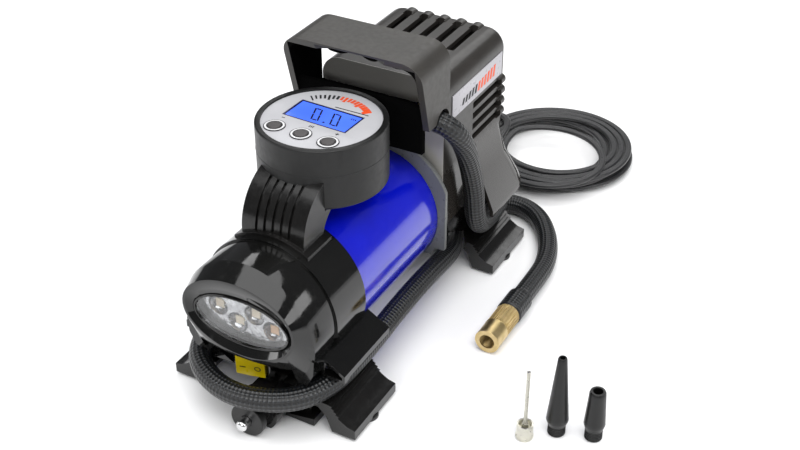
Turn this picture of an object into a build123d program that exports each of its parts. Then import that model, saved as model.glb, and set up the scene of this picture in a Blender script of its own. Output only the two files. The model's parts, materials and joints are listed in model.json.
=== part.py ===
from build123d import *
import math
import os

# Portable 12 V tyre inflator with its hose, power cord and three loose adapters.
# Millimetres, +Z up, -Y is the lamp end, origin on the floor at the middle of the feet.
# Each function returns one named piece; moving pieces sit at their rest position.

# ---- driving dimensions ---------------------------------------------------------------
MOTOR_Z = 45.5                      # height of the motor axis, which runs along Y
BARREL_R, BARREL_WALL = 30.0, 1.0
BARREL_FRONT, BARREL_REAR = -53.0, 22.0
CAN_R, CAN_WALL, CAN_FRONT, CAN_REAR = 22.0, 1.5, -42.0, 26.0
SHAFT_R = 2.0
CORE_R, MAGNET_IN, MAGNET_OUT = 15.4, 16.2, 20.5
GEAR_MODULE, PINION_TEETH, GEAR_TEETH = 0.6, 10, 45
PINION_R = GEAR_MODULE * PINION_TEETH / 2
GEAR_R = GEAR_MODULE * GEAR_TEETH / 2
CRANK_Z = MOTOR_Z + PINION_R + GEAR_R + 0.2
PLATE_Y0, PLATE_Y1 = 26.0, 29.0     # gearbox plate
CRANK_THROW, ROD_LENGTH = 7.0, 21.0
ROD_Y0, ROD_Y1 = 46.0, 51.4
CYLINDER_Y = (ROD_Y0 + ROD_Y1) / 2
BORE_R = 11.0
WRIST_Z = CRANK_Z - CRANK_THROW + ROD_LENGTH   # piston at the bottom of its stroke
CYLINDER_Z0, CYLINDER_Z1 = 77.0, 97.2
HEAD_TOP = 106.5
RUN_GAP = 0.05                      # radial running clearance of shafts in bushes

CAP_R, CAP_NOSE_R, CAP_WALL = 31.3, 30.4, 2.0
CAP_REAR, CAP_STEP, CAP_NOSE, CAP_FACE = -50.0, -72.0, -87.5, -95.0
BROW_Z, BROW_A, BROW_B = 53.4, 26.0, 17.6
LENS_FRONT, MOUTH_TOP = -92.6, 35.5
LENS_Z, LENS_A, LENS_B = 51.3, 21.4, 10.2
SWITCH_X, SWITCH_Z, SWITCH_FACE = -0.8, 27.4, -86.6
PIVOT_Y, ROCKER_HALF, ROCKER_TILT = -85.4, (6.3, 5.6), 12.5

GAUGE_Y, GAUGE_R = -29.0, 27.0
GAUGE_BOTTOM, GAUGE_SEAM, GAUGE_TOP = 84.0, 99.2, 110.9
FACE_Z = 110.1
NECK_GROOVES = (-7.6, -3.8, 0.0, 3.8, 7.6)
DISPLAY_X, DISPLAY_Y, DISPLAY_TURN = -1.0, -26.1, -2.5
DISPLAY_HALF = (15.2, 7.3)
BUTTONS = {"button_minus": (-13.6, -42.5), "button_mode": (-0.9, -43.1), "button_plus": (11.8, -43.6)}
BUTTON_R, BUTTON_TOP = 2.8, 110.9

COVER_HALF, COVER_FRONT, COVER_REAR, COVER_TOP, COVER_LOW = 30.0, 20.0, 82.0, 111.0, 38.0
COVER_WALL = 2.2
SKIRT_FRONT = 53.0
SLOT_PITCH, SLOT_COUNT = 8.5, 5
SIDE_SLOTS = (87.0, 81.6, 76.2, 70.8)

HANDLE_TOP, HANDLE_HALF, HANDLE_WALL, HANDLE_CORNER = 131.0, 32.8, 3.0, 9.0
HANDLE_FRONT, HANDLE_REAR, HANDLE_FOOT = -7.5, 19.6, 98.0
BEAM_Z0, BEAM_Z1 = 86.5, 108.5

FOOT_HALF, FOOT_GROUND = 44.4, 1.2
FRONT_FEET, REAR_FEET = (-82.8, -49.0), (46.7, 82.8)
GROOVE_X = 24.5

HOSE_R = 4.8
CORD_R = 2.0
PLUG_X, PLUG_Z = 4.3, 8.0
PAD_X, PAD_YS = 40.6, (-66.0, 64.0)
OUTLET_X, OUTLET_Y, OUTLET_Z = 22.6, 13.6, 97.0
SCREW_PLACES = [(x, z) for x in (-22, 22) for z in (74, 98)]
GROMMET_X, GROMMET_Z = 8.0, 74.0
CHUCK_X, CHUCK_Z = 66.4, 6.2
VALVE_R, STUB_R = 3.5, 3.45        # core size of the valve thread: bore of the chuck and stub of the adapters
NEEDLE_PLACE, TALL_PLACE, SHORT_PLACE = (102.6, -46.8), (112.9, -38.2), (127.1, -33.7)
COIL_X, COIL_Y, COIL_R, COIL_WIDTH, COIL_HEIGHT = 25.0, 166.0, 36.0, 13.0, 11.0

HOSE_ROUTE = [
    (22.6, 13.6, 97.0), (31.4, 13.6, 97.0), (38.0, 17.8, 90.3), (37.8, 26.0, 78.9), (37.4, 32.8, 65.4),
    (37.2, 37.6, 51.5), (37.0, 39.6, 38.0), (36.3, 45.6, 27.6), (33.8, 59.0, 21.6), (33.0, 76.0, 20.6),
    (27.4, 88.6, 20.2), (14.0, 93.8, 20.3), (-10.0, 94.0, 20.2), (-26.6, 88.8, 20.3), (-33.4, 74.0, 20.4),
    (-34.0, 46.0, 20.6), (-33.0, 14.0, 22.6), (-33.2, -18.0, 22.3), (-34.2, -50.0, 20.5), (-33.4, -76.0, 20.6),
    (-22.5, -94.0, 20.4), (0.0, -102.0, 20.3), (22.5, -93.6, 20.4), (31.2, -76.0, 20.6), (31.4, -48.0, 20.7),
    (30.8, -20.0, 22.4), (31.0, 8.0, 22.7), (29.5, 31.0, 18.4), (21.0, 50.0, 11.4), (14.4, 70.0, 7.6),
    (16.5, 91.0, 5.9), (29.0, 103.4, 5.1), (44.4, 99.4, 5.0), (57.4, 83.0, 5.1), (65.2, 63.0, 5.2),
    (66.4, 45.0, 5.9), (66.4, 28.6, 6.2),
]
LEAD_ROUTE = [
    (8.0, 102.2, 74.0), (8.1, 113.0, 74.0), (8.2, 121.4, 62.0), (6.4, 124.6, 43.0), (1.0, 126.6, 22.0),
    (-6.0, 132.0, 8.4), (-13.4, 140.6, 3.4), (-18.0, 151.0, 2.6),
]
TAIL_ROUTE = [
    (-19.6, 175.0, 2.6), (-23.4, 158.0, 2.3), (-24.0, 138.0, 2.2), (-21.6, 116.0, 2.3), (-15.8, 95.0, 2.2),
    (-8.0, 74.0, 2.4), (-3.0, 52.0, 2.2), (-0.4, 32.0, 2.6), (2.4, 16.0, 4.4), (4.3, 3.0, 8.0),
    (4.3, -10.0, 8.0),
]
SENSOR_ROUTE = [
    (-17.8, 44.0, 99.4), (-22.5, 40.0, 92.0), (-22.5, 33.0, 76.0), (-18.4, 24.0, 63.8), (-18.6, -46.0, 63.4),
    (-11.0, -58.0, 70.0), (-8.0, -54.4, 79.0), (-8.0, -50.6, 90.0),
]

NODES = {}


def piece(function):
    """Register a function as the named piece that it returns."""
    NODES[function.__name__] = function
    return function


# ---- plain shapes ----------------------------------------------------------------------
def block(x, y, z):
    """Box between two limits along each axis."""
    size = (x[1] - x[0], y[1] - y[0], z[1] - z[0])
    middle = ((x[0] + x[1]) / 2, (y[0] + y[1]) / 2, (z[0] + z[1]) / 2)
    return Pos(*middle) * Box(*size)


def along_y(radius, y0, y1, x=0.0, z=MOTOR_Z):
    """Cylinder with its axis along Y."""
    return Pos(x, (y0 + y1) / 2, z) * Rot(90, 0, 0) * Cylinder(radius, y1 - y0)


def along_x(radius, x0, x1, y, z):
    """Cylinder with its axis along X."""
    return Pos((x0 + x1) / 2, y, z) * Rot(0, 90, 0) * Cylinder(radius, x1 - x0)


def along_z(radius, z0, z1, x=0.0, y=0.0):
    """Cylinder with its axis along Z."""
    return Pos(x, y, (z0 + z1) / 2) * Cylinder(radius, z1 - z0)


def slab_y(points, y0, y1):
    """Outline in X and Z, drawn out along Y."""
    outline = make_face(Polyline(*[(x, y0, z) for x, z in points], close=True))
    return extrude(outline, amount=y1 - y0, dir=(0, 1, 0))


def slab_x(points, x0, x1):
    """Outline in Y and Z, drawn out along X."""
    outline = make_face(Polyline(*[(x0, y, z) for y, z in points], close=True))
    return extrude(outline, amount=x1 - x0, dir=(1, 0, 0))


def mirrored(shape):
    """The same shape on the other side of the X = 0 plane."""
    return mirror(shape, about=Plane.YZ)


def both_sides(shape):
    """The shape and its mirror image as two separate solids."""
    return Compound(children=[shape, mirrored(shape)])


def group(shapes):
    """Separate solids kept together in one node."""
    return Compound(children=list(shapes))


def toothed_wheel(teeth, y0, y1, z):
    """Spur gear with tapered teeth, axis along Y."""
    pitch = GEAR_MODULE * teeth / 2
    tip, root = pitch + 0.85 * GEAR_MODULE, pitch - 1.25 * GEAR_MODULE
    wheel = along_y(root, y0, y1, z=z)
    tooth = slab_y([(-0.42, z + root - 0.4), (0.42, z + root - 0.4), (0.2, z + tip), (-0.2, z + tip)], y0, y1)
    axis = Axis((0, 0, z), (0, 1, 0))
    return wheel + [tooth.rotate(axis, 360 * (index + 0.5) / teeth) for index in range(teeth)]


# ---- cords -----------------------------------------------------------------------------
def corner_radii(route):
    """Radius of each corner: as large as its two runs allow."""
    radii = []
    for before, here, after in zip(route, route[1:], route[2:]):
        run_in = Vector(*here) - Vector(*before)
        run_out = Vector(*after) - Vector(*here)
        half_turn = math.radians(run_in.get_angle(run_out)) / 2
        radii.append(0.45 * min(run_in.length, run_out.length) / math.tan(half_turn))
    return radii


def cord_tube(name, route, radius):
    """Tube of straight runs and tangent arcs along a route."""
    radii = corner_radii(route)
    path = FilletPolyline(*route, radius=radii)
    start = Plane(origin=path @ 0, z_dir=path % 0)
    tube = sweep(start * Circle(radius), path=path)
    expected = math.pi * radius ** 2 * path.length
    print(f"{name}: length {path.length:.0f}, radii {min(radii):.0f} to {max(radii):.0f},",
          f"volume {tube.volume / expected:.3f} of section times length")
    return tube


def plain_tube(route, radius, bend):
    """Tube with the same bend at every corner."""
    path = FilletPolyline(*route, radius=bend)
    return sweep(Plane(origin=path @ 0, z_dir=path % 0) * Circle(radius), path=path)


@piece
def air_hose():
    return cord_tube("air_hose", HOSE_ROUTE, HOSE_R)


@piece
def cord_lead():
    return cord_tube("cord_lead", LEAD_ROUTE, CORD_R)


@piece
def cord_tail():
    return cord_tube("cord_tail", TAIL_ROUTE, CORD_R)


@piece
def cord_coil():
    """Outer shape of the wound power cord, lying on the floor."""
    section = Plane.XZ * (Pos(COIL_R, COIL_HEIGHT / 2 + 0.2) * RectangleRounded(COIL_WIDTH, COIL_HEIGHT, 4.5))
    return Pos(COIL_X, COIL_Y) * revolve(section, Axis.Z)


# ---- motor -----------------------------------------------------------------------------
@piece
def motor_barrel():
    return along_y(BARREL_R, BARREL_FRONT, BARREL_REAR) - along_y(BARREL_R - BARREL_WALL, -60, 40)


@piece
def motor_can():
    """Steel can, closed at the front round its bush."""
    outer = along_y(CAN_R, CAN_FRONT, CAN_REAR)
    return outer - along_y(CAN_R - CAN_WALL, CAN_FRONT + 2, CAN_REAR + 1) - along_y(4.0, CAN_FRONT - 1, 0)


@piece
def motor_magnets():
    """Two arc magnets on the inside of the can."""
    ring = along_y(MAGNET_OUT, -20, 14) - along_y(MAGNET_IN, -21, 15)
    side = ring & slab_y([(2, MOTOR_Z), (30, MOTOR_Z - 22), (30, MOTOR_Z + 22)], -20, 14)
    return both_sides(side)


@piece
def brush_card():
    """Insulating disc that carries the two brushes."""
    card = along_y(CAN_R - CAN_WALL, -38, -36) - along_y(7.5, -40, -30)
    brush = block((6.2, 12), (-36, -31), (MOTOR_Z - 2, MOTOR_Z + 2))
    return card + brush + mirrored(brush)


@piece
def bearing_bushes():
    """Sintered bushes: two for the motor shaft and one for the crankshaft."""
    front = along_y(4.0, CAN_FRONT, CAN_FRONT + 2) - along_y(SHAFT_R + RUN_GAP, -60, 40)
    rear = along_y(4.0, PLATE_Y0, PLATE_Y1) - along_y(SHAFT_R + RUN_GAP, -60, 40)
    crank = along_y(5.0, PLATE_Y0, PLATE_Y1, z=CRANK_Z) - along_y(3.0 + RUN_GAP, 0, 40, z=CRANK_Z)
    return group([front, rear, crank])


@piece
def rotor_shaft():
    return along_y(SHAFT_R, -50, 36.5)


@piece
def armature_core():
    """Laminated core with twelve winding slots."""
    core = along_y(CORE_R, -18, 12) - along_y(SHAFT_R, -20, 20)
    slot = block((-1.1, 1.1), (-18, 12), (MOTOR_Z + 11, MOTOR_Z + CORE_R + 1))
    axis = Axis((0, 0, MOTOR_Z), (0, 1, 0))
    return core - [slot.rotate(axis, 30 * index) for index in range(12)]


@piece
def armature_winding():
    """Copper end turns at both ends of the core."""
    ends = [along_y(12.5, y0, y1) - along_y(SHAFT_R, -60, 40) for y0, y1 in ((-24, -18), (12, 17))]
    return group(ends)


@piece
def commutator():
    body = along_y(5.8, -35.5, -24) - along_y(SHAFT_R, -60, 40)
    gap = block((-0.25, 0.25), (-35.5, -26), (MOTOR_Z + 4.6, MOTOR_Z + 7))
    axis = Axis((0, 0, MOTOR_Z), (0, 1, 0))
    return body - [gap.rotate(axis, 30 * index) for index in range(12)]


@piece
def cooling_fan():
    """Eight-bladed fan on the front end of the shaft."""
    hub = along_y(6.0, -50, -44)
    disc = along_y(22.0, -45.2, -44)
    blade = block((-0.6, 0.6), (-49.5, -45), (MOTOR_Z + 5, MOTOR_Z + 22))
    axis = Axis((0, 0, MOTOR_Z), (0, 1, 0))
    fan = hub + disc + [blade.rotate(axis, 45 * index) for index in range(8)]
    return fan - along_y(SHAFT_R, -60, 0)


@piece
def motor_pinion():
    return toothed_wheel(PINION_TEETH, 30.5, 36.5, MOTOR_Z) - along_y(SHAFT_R, 0, 50)


# ---- compressor ------------------------------------------------------------------------
@piece
def gearbox_plate():
    """Plate behind the motor; two arms hold the cylinder."""
    plate = slab_y([(-26, 22), (26, 22), (26, 72), (20, 94), (-20, 94), (-26, 72)], PLATE_Y0, PLATE_Y1)
    arm = block((15.0, 19.0), (PLATE_Y1, 60), (78, 94))
    plate = plate + arm + mirrored(arm)
    return plate - along_y(4.0, 20, 40) - along_y(5.0, 20, 40, z=CRANK_Z) - plain_tube(SENSOR_ROUTE, 1.8, 3.0)


@piece
def crank_gear():
    """Large gear, turned half a tooth so that it meshes at rest."""
    gear = toothed_wheel(GEAR_TEETH, 31.0, 36.0, CRANK_Z) - along_y(3.0, 0, 60, z=CRANK_Z)
    axis = Axis((0, 0, CRANK_Z), (0, 1, 0))
    holes = [along_y(2.6, 30, 40, z=CRANK_Z + 8).rotate(axis, 60 * index) for index in range(6)]
    return gear - holes


@piece
def crank_shaft():
    """Shaft, web and crank pin; the pin ends short of the connecting rod."""
    pin_z = CRANK_Z - CRANK_THROW
    shaft = along_y(3.0, PLATE_Y0 + 0.2, 37.8, z=CRANK_Z)
    web = along_y(4.6, 36.0, 37.8, z=CRANK_Z) + along_y(4.0, 36.0, 37.8, z=pin_z)
    web = web + block((-4, 4), (36.0, 37.8), (pin_z, CRANK_Z))
    counterweight = along_y(10.6, 36.0, 37.8, z=CRANK_Z) & block((-11, 11), (36, 38), (CRANK_Z + 3, CRANK_Z + 11))
    pin = along_y(2.5, 37.8, ROD_Y0 - 0.5, z=pin_z)
    return shaft + web + counterweight + pin


@piece
def cylinder():
    """Finned barrel in which the piston runs."""
    body = along_z(13.6, CYLINDER_Z0, CYLINDER_Z1, y=CYLINDER_Y)
    fins = [along_z(15.0, z, z + 1.4, y=CYLINDER_Y) for z in (78.4, 81.8, 85.2, 88.6, 92.0)]
    flange = block((-15, 15), (CYLINDER_Y - 13, CYLINDER_Y + 15), (CYLINDER_Z1 - 2.5, CYLINDER_Z1))
    return body + fins + flange - along_z(BORE_R, 60, 120, y=CYLINDER_Y)


@piece
def cylinder_head():
    """Head with cooling fins and the outlet boss on the right."""
    base = block((-16, 16), (CYLINDER_Y - 14, CYLINDER_Y + 15), (CYLINDER_Z1, CYLINDER_Z1 + 4))
    fins = [block((x, x + 1.6), (CYLINDER_Y - 12, CYLINDER_Y + 13), (CYLINDER_Z1 + 3, HEAD_TOP))
            for x in (-14, -10, -6, -2, 2, 6, 10)]
    boss = along_x(4.2, 10, 19, CYLINDER_Y, CYLINDER_Z1 + 4.4)
    return base + fins + boss - along_x(2.6, 14, 20, CYLINDER_Y, CYLINDER_Z1 + 4.4)


@piece
def piston():
    body = along_z(10.6, WRIST_Z - 3.5, WRIST_Z + 5, y=CYLINDER_Y)
    ring_groove = along_z(12, WRIST_Z + 1.6, WRIST_Z + 3.4, y=CYLINDER_Y) - along_z(9.6, 0, 200, y=CYLINDER_Y)
    pocket = block((-8.2, 8.2), (ROD_Y0 - 0.6, ROD_Y1 + 0.6), (WRIST_Z - 8, WRIST_Z + 4.0))
    return body - ring_groove - pocket - along_y(2.0, 0, 80, z=WRIST_Z)


@piece
def piston_ring():
    """Sliding seal in the piston's groove."""
    ring = along_z(BORE_R - RUN_GAP, WRIST_Z + 1.6, WRIST_Z + 3.4, y=CYLINDER_Y)
    return ring - along_z(9.6, 0, 200, y=CYLINDER_Y)


@piece
def wrist_pin():
    return along_y(2.0, CYLINDER_Y - 9.5, CYLINDER_Y + 9.5, z=WRIST_Z)


@piece
def connecting_rod():
    big_z = WRIST_Z - ROD_LENGTH
    eyes = along_y(3.7, ROD_Y0, ROD_Y1, z=WRIST_Z) + along_y(5.2, ROD_Y0, ROD_Y1, z=big_z)
    rod = eyes + block((-1.9, 1.9), (ROD_Y0, ROD_Y1), (big_z, WRIST_Z))
    return rod - along_y(2.0 + RUN_GAP, 0, 80, z=WRIST_Z) - along_y(2.6, 0, 80, z=big_z)


@piece
def outlet_fitting():
    """Pipe from the head forward to the hose, with a barbed end."""
    boss_z = CYLINDER_Z1 + 4.4
    bend_x = OUTLET_X - 3.0
    pipe = along_x(2.6, 19.0, 24.6, CYLINDER_Y, boss_z) + along_y(2.6, 36.0, CYLINDER_Y, x=22.0, z=boss_z)
    drop = plain_tube([(22.0, 36.0, boss_z), (22.0, 31.0, boss_z), (bend_x, 25.5, OUTLET_Z),
                       (bend_x, OUTLET_Y, OUTLET_Z)], 2.6, 3.0)
    stub = along_x(4.2, bend_x - 2.6, OUTLET_X, OUTLET_Y, OUTLET_Z)
    return pipe + drop + stub


@piece
def sensor_tube():
    """Air line from the head to the gauge, between the barrel and the motor can."""
    return plain_tube(SENSOR_ROUTE, 1.5, 3.0)


# ---- covers ----------------------------------------------------------------------------
def cover_block(inset, z0):
    """Outer form of the compressor cover, shrunk by an inset."""
    half, top = COVER_HALF - inset, COVER_TOP - inset
    form = block((-half, half), (COVER_FRONT + inset, COVER_REAR - inset), (z0, top))
    form = fillet(form.edges().filter_by(Axis.Y).group_by(Axis.Z)[-1], 9.0 - inset)
    rear = form.edges().filter_by(Axis.X).group_by(Axis.Z)[-1].sort_by(Axis.Y)[-1]
    return fillet(rear, 3.0)


def skirt_form(inset):
    """Flared lower part: three rounded rectangles, growing downwards."""
    levels = ((66.0, COVER_HALF, COVER_REAR), (49.0, 33.4, 87.0), (31.6, 40.4, 96.6))
    front = 24.0
    outlines = []
    for height, half, rear in levels:
        corner = 7.0 + (half - COVER_HALF) * 0.8
        outline = RectangleRounded(2 * (half - inset), rear - front - inset, corner)
        outlines.append(Pos(0, (rear - inset + front) / 2, height) * outline)
    lip = extrude(outlines[-1], amount=3.0, dir=(0, 0, -1))
    return loft(outlines, ruled=True) + lip


@piece
def compressor_cover():
    """Slotted shell over the compressor, with the flared skirt over the hose groove."""
    shell = cover_block(0.0, COVER_LOW) - cover_block(COVER_WALL, COVER_LOW - 5)
    skirt = skirt_form(0.0) - skirt_form(1.8)
    skirt = skirt & block((-60, 60), (SKIRT_FRONT, 120), (0, 120))
    hoods = [along_y(3.6, 74.5, 80.0, x=SLOT_PITCH * (index - 2), z=108.6) for index in range(SLOT_COUNT)]
    side_hoods = [along_y(2.4, 74.0, 80.0, x=side * 29.2, z=height) for side in (-1, 1) for height in SIDE_SLOTS]
    shell = shell + hoods + side_hoods - cover_block(COVER_WALL, COVER_LOW - 5)
    top_slots = [block((x - 1.9, x + 1.9), (50, 76), (100, 120))
                 for x in [SLOT_PITCH * (index - 2) for index in range(SLOT_COUNT)]]
    side_slots = [block((-40, 40), (49, 76), (height - 1.6, height + 1.6)) for height in SIDE_SLOTS]
    mouth = along_y(BARREL_R + 0.2, 10, 24) + block((-24.6, 24.6), (10, 24), (20, 60))
    outlet = along_y(3.4, 10, 30, x=OUTLET_X - 3.0, z=OUTLET_Z)
    screw_holes = [along_y(1.4, 70, 90, x=x, z=z) for x, z in SCREW_PLACES]
    shell = shell + skirt - top_slots - side_slots - mouth - outlet - screw_holes
    return shell - along_y(4.4, 70, 90, x=GROMMET_X, z=GROMMET_Z)


@piece
def handle_frame():
    """Inverted-U carry handle with finger lobes, deck and cross beam."""
    outer = block((-HANDLE_HALF, HANDLE_HALF), (HANDLE_FRONT, HANDLE_REAR), (80, HANDLE_TOP))
    outer = fillet(outer.edges().filter_by(Axis.Y).group_by(Axis.Z)[-1], HANDLE_CORNER)
    inner_half = HANDLE_HALF - HANDLE_WALL
    inner = block((-inner_half, inner_half), (-20, 30), (70, HANDLE_TOP - HANDLE_WALL))
    inner = fillet(inner.edges().filter_by(Axis.Y).group_by(Axis.Z)[-1], HANDLE_CORNER - HANDLE_WALL)
    side = slab_x([(HANDLE_FRONT, HANDLE_TOP), (HANDLE_REAR, HANDLE_TOP), (HANDLE_REAR, HANDLE_FOOT),
                   (13.5, HANDLE_FOOT), (1.3, HANDLE_FOOT)], -50, 50)
    band_room = block((-28, 28), (-4, 16), (HANDLE_TOP - 5.0, HANDLE_TOP - 2))
    lobes = [along_y(9.0, -4, 16, x=x, z=HANDLE_TOP + 4.2) & band_room for x in (-20.4, -6.8, 6.8, 20.4)]
    beam = block((-inner_half, inner_half), (0.8, 3.4), (BEAM_Z0, BEAM_Z1))
    deck = block((-inner_half, inner_half), (3.4, HANDLE_REAR), (96.6, HANDLE_FOOT + 1.4))
    frame = ((outer - inner) & side) + lobes + beam + deck
    gauge_room = along_z(GAUGE_R + 0.3, 70, 130, y=GAUGE_Y)
    hose_room = along_x(5.6, 14, 60, OUTLET_Y, OUTLET_Z) + along_y(3.6, 10, 30, x=OUTLET_X - 3.0, z=OUTLET_Z)
    return frame - hose_room - gauge_room


@piece
def barrel_collar():
    """Flanged ring where the barrel enters the cover."""
    flange = along_y(37.0, 15.5, 17.5) & block((-34, 34), (0, 30), (30, 100))
    ring = along_y(33.0, 15.5, 20.0)
    return (flange + ring) - along_y(BARREL_R, 0, 40) - block((-60, 60), (0, 40), (0, 26))


def foot_profile():
    """Outline of the right-hand foot in X and Z, with four ridges on its slope."""
    outline = [(33.6, FOOT_GROUND), (FOOT_HALF, FOOT_GROUND), (FOOT_HALF, 5.7), (41.0, 6.5), (38.4, 8.0)]
    for ridge in range(4):
        x, z = 37.0 - 1.05 * ridge, 9.4 + 1.35 * ridge
        outline += [(x - 0.5, z), (x + 0.15, z + 0.75)]
    return outline + [(31.6, 14.8), (GROOVE_X - 2, 14.8), (GROOVE_X - 2, 12.6), (27.3, 11.8), (30.7, 8.6)]


def feet(limits):
    """Right and left foot between two Y limits, bored for the stems of the pads."""
    right = slab_y(foot_profile(), *limits) - [along_z(2.0, 0, 3.4, x=PAD_X, y=y) for y in PAD_YS]
    return right, mirrored(right)


@piece
def rear_base():
    """Rear feet, groove wall and floor plate under the compressor."""
    right, left = feet(REAR_FEET)
    plan = Pos(0, 60) * RectangleRounded(2 * GROOVE_X, 48, 14)
    inner = Pos(0, 60) * RectangleRounded(2 * GROOVE_X - 4, 44, 12)
    wall = Pos(0, 0, 12.6) * extrude(plan, amount=24.4) - Pos(0, 0, 20) * extrude(inner, amount=30)
    wall = wall - block((-20.5, 20.5), (20, 100), (0, 18))
    ledge = Pos(0, 60, 13.0) * extrude(RectangleRounded(60, 66, 22), amount=1.6)
    ledge = ledge & block((-60, 60), (REAR_FEET[1] - 2, 100), (0, 40))
    base = right + left + wall + ledge
    rib = block((-GROOVE_X, GROOVE_X), (36.2, 38.0), (18, 30))
    channel = plain_tube(HOSE_ROUTE[26:31], 6.2, 8.0)
    return base + rib - along_y(BARREL_R + 0.3, 0, 39) - channel


@piece
def front_base():
    """Front feet and the bridge between them, under the cap."""
    right, left = feet(FRONT_FEET)
    bridge = block((-GROOVE_X, GROOVE_X), (-80, -54), (17.6, 19.6))
    wall = block((GROOVE_X - 2, GROOVE_X), (-80, -54), (12.6, 19.6))
    return right + left + bridge + wall + mirrored(wall)


@piece
def foot_pads():
    """Four rubber pads let into the feet."""
    pads = []
    for y in PAD_YS:
        for x in (-PAD_X, PAD_X):
            pads.append(along_z(4.6, 0, FOOT_GROUND, x=x, y=y) + along_z(2.0, 0, 3.4, x=x, y=y))
    return group(pads)


def flange_panel():
    """Sloping hose flange on the right side of the cap, with a hollow box at its front end."""
    panel = slab_y([(27.0, 35.4), (28.0, 35.4), (38.4, 29.2), (38.4, 26.6), (36.8, 26.6), (36.8, 28.0),
                    (27.0, 33.6)], -77.0, -43.4)
    outer = slab_y([(27.2, 35.6), (28.0, 35.4), (38.4, 29.2), (38.4, 25.8), (28.4, 25.8), (27.2, 27.0)], -79.5, -76.0)
    inner = slab_y([(29.2, 33.2), (37.2, 28.4), (37.2, 27.0), (29.2, 27.0)], -90.0, -70.0)
    return panel + (outer - inner)


def facing_front(outline, y):
    """Outline in a plane across the motor axis, facing the front."""
    return Plane(origin=(0, y, MOTOR_Z), x_dir=(1, 0, 0), z_dir=(0, -1, 0)) * outline


def brow_outline(inset):
    """Ellipse of the brow over the lamp."""
    return Pos(0, BROW_Z - MOTOR_Z) * Ellipse(BROW_A - inset, BROW_B - inset)


def lens_outline(margin):
    """Ellipse of the lamp opening, made larger by a margin."""
    return Pos(0, LENS_Z - MOTOR_Z) * Ellipse(LENS_A + margin, LENS_B + margin)


def cap_nose():
    """Front of the cap: tapers to the brow, then dishes back to the lens."""
    nose = loft([facing_front(Circle(CAP_NOSE_R), CAP_NOSE), facing_front(brow_outline(0.0), CAP_FACE)])
    dish = loft([facing_front(brow_outline(1.0), CAP_FACE - 0.1), facing_front(lens_outline(1.0), LENS_FRONT + 0.1)])
    return nose - dish - extrude(facing_front(lens_outline(0.0), -80.0), amount=20)


@piece
def front_cap():
    """Cap over the fan and lamp, open below, with a hose flange on each side."""
    rear = along_y(CAP_R, CAP_STEP, CAP_REAR)
    middle = along_y(CAP_NOSE_R, CAP_NOSE, CAP_STEP)
    cavity = along_y(CAP_NOSE_R - CAP_WALL, -85.5, -40)
    mouth = block((-22.0, 22.0), (-120, -84.0), (0, MOUTH_TOP))
    below = block((-60, 60), (-120, -40), (0, 19.6))
    lens_room = extrude(facing_front(lens_outline(0.0), -80.0), amount=20)
    shell = rear + middle + cap_nose() - cavity - below - mouth - lens_room
    panel = block((-22.4, 22.4), (-84.0, -82.0), (19.6, 42.0)) - switch_body()
    cheek = slab_y([(22.4, 27.0), (26.6, 27.0), (29.6, 33.0), (30.2, 40.0), (22.4, 40.0)], -88.5, -80.0)
    sides = flange_panel() + cheek
    shell = shell + panel + sides + mirrored(sides)
    return shell - along_y(BARREL_R, BARREL_FRONT, -40) - cavity - plain_tube(SENSOR_ROUTE, 1.8, 3.0)


@piece
def plug_clip():
    """Clip under the bridge: a ring round the stowed plug and a wedge beside it."""
    ring = plug_y(9.6, -92.6, -88.0) & block((-20, 40), (-100, -80), (0.6, 17.6))
    hanger = block((PLUG_X - 4, PLUG_X + 4), (-92.6, -74.0), (15.8, 17.6))
    side = block((13.8, 22.3), (-80.0, -74.0), (1.8, 17.6)) + block((PLUG_X - 4, 22.3), (-80.0, -74.0), (15.8, 17.6))
    wedge = slab_y([(11.4, 0.6), (25.3, 0.6), (25.3, 4.2), (11.4, 1.9)], -83.0, -75.4)
    return ring + hanger + side + wedge - plug_y(7.7, -95, -60)


@piece
def side_labels():
    """Thin label on each side of the cover."""
    right = block((COVER_HALF, COVER_HALF + 0.4), (27.5, 77.5), (90.6, 101.6))
    return both_sides(right)


@piece
def assembly_screws():
    """Pan-head screws of the rear cover."""
    screws = []
    for x, z in SCREW_PLACES:
        head = along_y(2.6, COVER_REAR, COVER_REAR + 1.4, x=x, z=z)
        screws.append(head + along_y(1.4, 72, COVER_REAR + 1, x=x, z=z))
    return group(screws)


# ---- lamp and switch -------------------------------------------------------------------
def lens_ellipse(shrink, y0, depth):
    """Elliptical plate that fits the lamp opening."""
    plane = Plane(origin=(0, y0, LENS_Z), x_dir=(1, 0, 0), z_dir=(0, -1, 0))
    return extrude(plane * Ellipse(LENS_A - shrink, LENS_B - shrink), amount=depth)


@piece
def lamp_reflector():
    """Plated tray with one cup for each lamp."""
    tray = lens_ellipse(0.2, -82.5, 6.5)
    cups = [Pos(x, -89.6, z) * Sphere(4.6) for x, z in lamp_places()]
    seats = [along_y(1.7, -90, -85.1, x=x, z=z) for x, z in lamp_places()]
    return tray - cups - seats


def lamp_places():
    """Centres of the four lamps."""
    return [(-12.6, 53.4), (-3.6, 48.2), (4.4, 54.2), (12.8, 49.4)]


@piece
def lamp_leds():
    return group([along_y(1.7, -87.4, -85.1, x=x, z=z) for x, z in lamp_places()])


@piece
def lamp_lens():
    return lens_ellipse(0.0, -91.2, 1.4)


def switch_box(half_x, half_z, y0, y1):
    """Block centred on the switch."""
    return block((SWITCH_X - half_x, SWITCH_X + half_x), (y0, y1), (SWITCH_Z - half_z, SWITCH_Z + half_z))


def switch_body():
    """Part of the switch that passes through the panel."""
    return switch_box(7.8, 6.9, -84.0, -72.0)


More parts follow.
